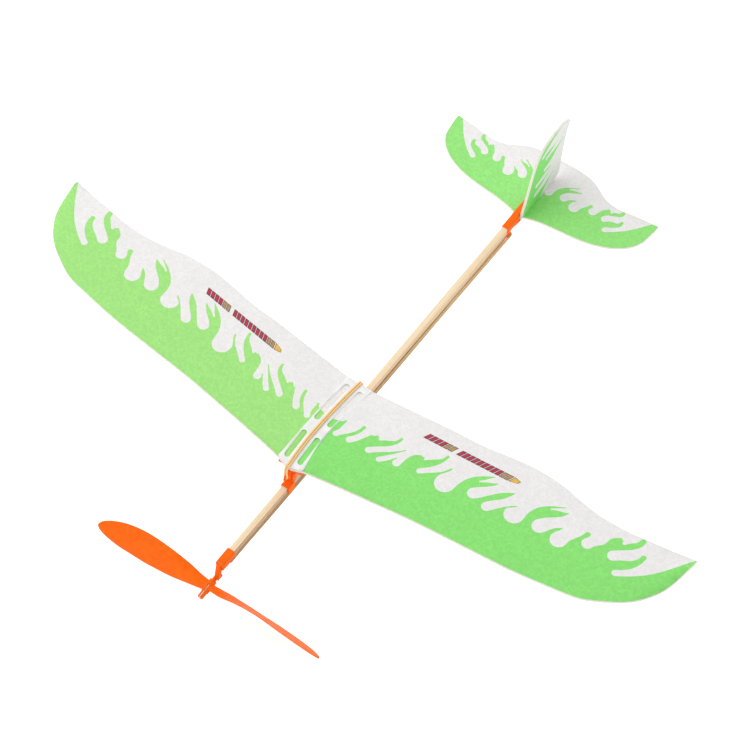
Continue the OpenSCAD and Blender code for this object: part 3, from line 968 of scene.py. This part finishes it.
BLADE_AFT = [
    (0, 0), (10, 0.1), (20, 0.8), (30, 1.2), (45, 0.9), (60, -0.1), (78, -1.3), (88, -2.2)]
BLADE_CAMBER = 0.02
EDGE_T = 0.3


def on_shaft(x, y, z):
    """A point given about the propeller's shaft: y = 0 at the hub, +y aft."""
    c, s = math.cos(SIDE_THRUST), math.sin(SIDE_THRUST)
    return at(HUB[0] + x * c - y * s, HUB[1] + x * s + y * c, HUB[2] + z)


def blade_point(r, s, face):
    """A point of the blade at a radius: s runs from -1 to 1 across it, face is 1 or -1."""
    chord = along(BLADE_CHORD, r)
    angle = math.radians(along(BLADE_PITCH, r))
    thick = 0.8 + 1.7 * math.exp(-r / 14) + 2.2 * math.exp(-r / 3.5)
    reach = s * chord / 2 - along(BLADE_LEAD, r)
    bulge = (1 - s * s) * (BLADE_CAMBER * chord + face * thick / 2) + face * EDGE_T / 2
    return (
        -r,
        reach * math.sin(angle) - bulge * math.cos(angle) + along(BLADE_AFT, r),
        reach * math.cos(angle) + bulge * math.sin(angle))


ACROSS = 16


def blade(bm, turn):
    """One twisted blade, with closer rings towards its round tip."""
    c, s = math.cos(turn), math.sin(turn)
    across = [-math.cos(math.pi * i / ACROSS) for i in range(ACROSS + 1)]
    rings = []
    for r in steps(1.0, 79.0, 52) + steps(80.0, 86.5, 10) + [87.0, 87.4, 87.7, 87.9, PROP_R]:
        ring = [blade_point(r, t, 1) for t in across]
        ring += [blade_point(r, t, -1) for t in reversed(across)]
        rings.append([
            bm.verts.new(on_shaft(x * c + z * s, y, z * c - x * s)) for x, y, z in ring])
    skin(bm, rings)


def lathe(bm, profile, turns):
    """A closed solid of revolution about the shaft; profile gives (y, radius) pairs."""
    rings = []
    for y, r in profile:
        rings.append([
            bm.verts.new(on_shaft(r * math.cos(a), y, r * math.sin(a)))
            for a in (2 * math.pi * i / turns for i in range(turns))])
    skin(bm, rings)


def solid(name, bm):
    """A plain object of a bmesh, for joining or cutting."""
    bmesh.ops.recalc_face_normals(bm, faces=bm.faces)
    mesh = bpy.data.meshes.new(name)
    bm.to_mesh(mesh)
    bm.free()
    obj = bpy.data.objects.new(name, mesh)
    bpy.context.collection.objects.link(obj)
    return obj


def combined(base, others):
    """The base solid with other solids added ("UNION") or taken away ("DIFFERENCE")."""
    for operation, other in others:
        modifier = base.modifiers.new(operation.lower(), "BOOLEAN")
        modifier.operation = operation
        modifier.solver = "EXACT"
        modifier.object = other
    evaluated = base.evaluated_get(bpy.context.evaluated_depsgraph_get())
    bm = bmesh.new()
    bm.from_mesh(evaluated.to_mesh())
    for obj in [base] + [other for _, other in others]:
        bpy.data.objects.remove(obj)
    bmesh.ops.remove_doubles(bm, verts=bm.verts, dist=0.002 * MM)
    return bm


def hub_solid():
    """The hub with its slimmer nose, all turned on the shaft's axis."""
    bm = bmesh.new()
    lathe(bm, [
        (NOSE_FRONT, 1.25), (NOSE_FRONT + 0.12, 1.55), (NOSE_FRONT + 0.5, NOSE_R),
        (-HUB_HALF - 0.35, NOSE_R), (-HUB_HALF - 0.1, NOSE_R + 0.1), (-HUB_HALF, HUB_R - 0.25),
        (-HUB_HALF + 0.25, HUB_R), (HUB_HALF - 0.4, HUB_R), (HUB_HALF - 0.1, HUB_R - 0.12),
        (HUB_HALF, HUB_R - 0.4)], 48)
    return solid("hub", bm)


def blade_solid(turn):
    bm = bmesh.new()
    blade(bm, turn - PROP_TURN)
    return solid("blade", bm)


def bore_solid():
    """The room that the shaft takes through the hub."""
    bm = bmesh.new()
    lathe(bm, [(CUT_FRONT, WIRE_R + 0.03), (HUB_HALF + 1.0, WIRE_R + 0.03)], 24)
    return solid("bore", bm)


def groove_solid(low, rear):
    """An open groove along the top of the hub, for the folded end of the wire."""
    bm = bmesh.new()
    half = WIRE_R + GROOVE_GAP
    bottom, top = low - GROOVE_GAP, low + GROOVE_HEIGHT
    corners = [(-half, bottom), (half, bottom), (half, top), (-half, top)]
    skin(bm, [[bm.verts.new(on_shaft(x, y, z)) for x, z in corners] for y in (CUT_FRONT, rear)])
    return solid("groove", bm)


def propeller(material):
    """Hub and two blades in one piece, cut out for the wire."""
    parts = [("UNION", blade_solid(0.0)), ("UNION", blade_solid(math.pi))]
    parts.append(("DIFFERENCE", bore_solid()))
    parts.append(("DIFFERENCE", groove_solid(FOLD_Z - WIRE_R, FOLD_REAR + 0.1)))
    parts.append(("DIFFERENCE", groove_solid(-WIRE_R, SHAFT_FRONT + 0.05)))
    piece = add_object("propeller_blades", combined(hub_solid(), parts), [material])
    stand_for(piece, "propeller_unit", "propeller")


MOTOR_FRONT = (HUB[0] - math.sin(SIDE_THRUST) * HOOK_REAR, HUB[1] + HOOK_REAR - 0.2)
MOTOR_REAR = (0.0, 256.5)
STRAND_R = 1.13
STRAND_CLOSE = 0.9
STRAND_W = 1.3
STRAND_T = 1.0
STRAND_EDGE_R = 0.16
LOOP_Z = 0.55
OPENING_LENGTH = 30.0
WAVE = 0.1
SAG = 0.5


def rubber_motor(material):
    """Two flat rubber loops, one above the other, between the hook and the tail peg."""
    front, rear = Vector(MOTOR_FRONT), Vector(MOTOR_REAR)
    run = rear - front
    length = run.length
    run.normalize()
    out = Vector((run.y, -run.x))
    bm = bmesh.new()
    for number, height in enumerate((-LOOP_Z, LOOP_Z)):
        path = []
        for side in (1, -1):
            for d in steps(0.0, length, 120):
                e = d if side > 0 else length - d
                free = min(e, length - e, OPENING_LENGTH) / OPENING_LENGTH
                apart = STRAND_CLOSE + (STRAND_R - STRAND_CLOSE) * (1.0 - free) ** 2
                wave = WAVE * free * math.sin(e * 0.045 + 2.1 * number)
                sag = SAG * math.sin(math.pi * e / length)
                lift = free * (WAVE * math.sin(e * 0.06 + side) - sag)
                p = front + run * e + out * (side * apart + wave)
                path.append(at(p.x, p.y, HUB[2] + height + lift))
            centre, start = (rear, 0.0) if side > 0 else (front, math.pi)
            for a in steps(0.0, math.pi, 10)[1:-1]:
                p = centre + (out * math.cos(a + start) + run * math.sin(a + start)) * STRAND_R
                path.append(at(p.x, p.y, HUB[2] + height))
        section = rounded_rect(STRAND_W, STRAND_T, STRAND_EDGE_R)
        sweep(bm, path, section, Vector((0, 0, 1)), loop=True)
    piece = add_object("rubber_motor_strands", bm, [material])
    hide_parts("rubber_motor")
    start = at(front.x, front.y, HUB[2])
    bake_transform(piece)


# ---------------------------------------------------------------- assembly

def paint(node, material):
    """Gives a CAD node that stays a new material."""
    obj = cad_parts[node]
    obj.data.materials.clear()
    obj.data.materials.append(material)


FLOOR_HALF = 4
FLOOR_GAP = 0.0002


def add_floor():
    bm = bmesh.new()
    low = cad_box[0].z - FLOOR_GAP
    corners = [
        (x * FLOOR_HALF, y * FLOOR_HALF) for x, y in ((-1, -1), (1, -1), (1, 1), (-1, 1))]
    bm.faces.new([bm.verts.new((x, y, low)) for x, y in corners])
    floor = add_object("floor", bm, [floor_paint("floor_paint")])


# The same green ink on every sheet, painted lighter on the starboard panel and darker on the port panel
# and on the fin's port face, as painted light and shade.
STARBOARD_LIT_GREEN = (0.38, 0.83, 0.22)
PORT_SHADED_GREEN = (0.27, 0.82, 0.18)
TAIL_GREEN = (0.32, 0.84, 0.21)
FIN_SHADED_GREEN = (0.26, 0.85, 0.18)
PAPER = (0.89, 0.87, 0.86)
CUT_FOAM = (0.87, 0.83, 0.76)
AMBER_INK = (0.9, 0.52, 0.06)
TAN_INK = (0.5, 0.3, 0.12)
MAROON_INK = (0.5, 0.03, 0.07)
DARK_INK = (0.035, 0.02, 0.02)
ORANGE = (1.0, 0.16, 0.006)
ORANGE_SHADE = (0.93, 0.128, 0.005)


def inks(green, name):
    """The materials of one foam sheet, in the order of their numbers."""
    return [
        foam(name + "_white", PAPER),
        foam(name + "_green", green, 0.4),
        foam(name + "_amber", AMBER_INK, 1.0),
        foam(name + "_tan", TAN_INK, 1.0),
        foam(name + "_maroon", MAROON_INK, 1.0),
        foam(name + "_dark", DARK_INK, 1.0),
        foam(name + "_cut", CUT_FOAM)]


add_camera()
add_studio()
add_floor()
# Port panel in the green with painted shade, starboard panel in the green with painted light.
port_inks = inks(PORT_SHADED_GREEN, "port")
starboard_inks = inks(STARBOARD_LIT_GREEN, "starboard")
wing_panel("wing_port", 1, port_inks, ((59.0, 69.3), (128.0, 73.6), True))
wing_panel("wing_starboard", -1, starboard_inks, ((55.6, 65.5), (124.0, 73.8), False))
tailplane(inks(TAIL_GREEN, "tail"))
# The fin's port face in the green with painted shade.
fin(inks(FIN_SHADED_GREEN, "fin"))
wing_joiner(white_plastic("joiner_plastic"))
wing_band(rubber("band_rubber", (0.97, 0.66, 0.28), (0.92, 0.56, 0.19), 0.35, 0.08))
plastic = moulded_plastic("orange_plastic", ORANGE, ORANGE_SHADE)
propeller(plastic)
# The motor is coloured darker towards the nose.
rubber_motor(rubber(
    "motor_rubber", (0.8, 0.58, 0.3), (0.66, 0.45, 0.22), 0.5, nose_darkening=(0.24, 0.13, 0.05)))
for part in ("nose_block", "thrust_washer", "wing_saddle", "tail_mount"):
    paint(part, plastic)
paint("fuselage_stick", wood("stick_wood"))
paint("prop_shaft", metal("shaft_steel", (0.8, 0.78, 0.75), (0.66, 0.64, 0.61), 0.3))
tape = rubber("foam_tape", (0.8, 0.77, 0.68), (0.74, 0.7, 0.6), 0.7)
for part in ("fin_tape", "tailplane_tape"):
    paint(part, tape)
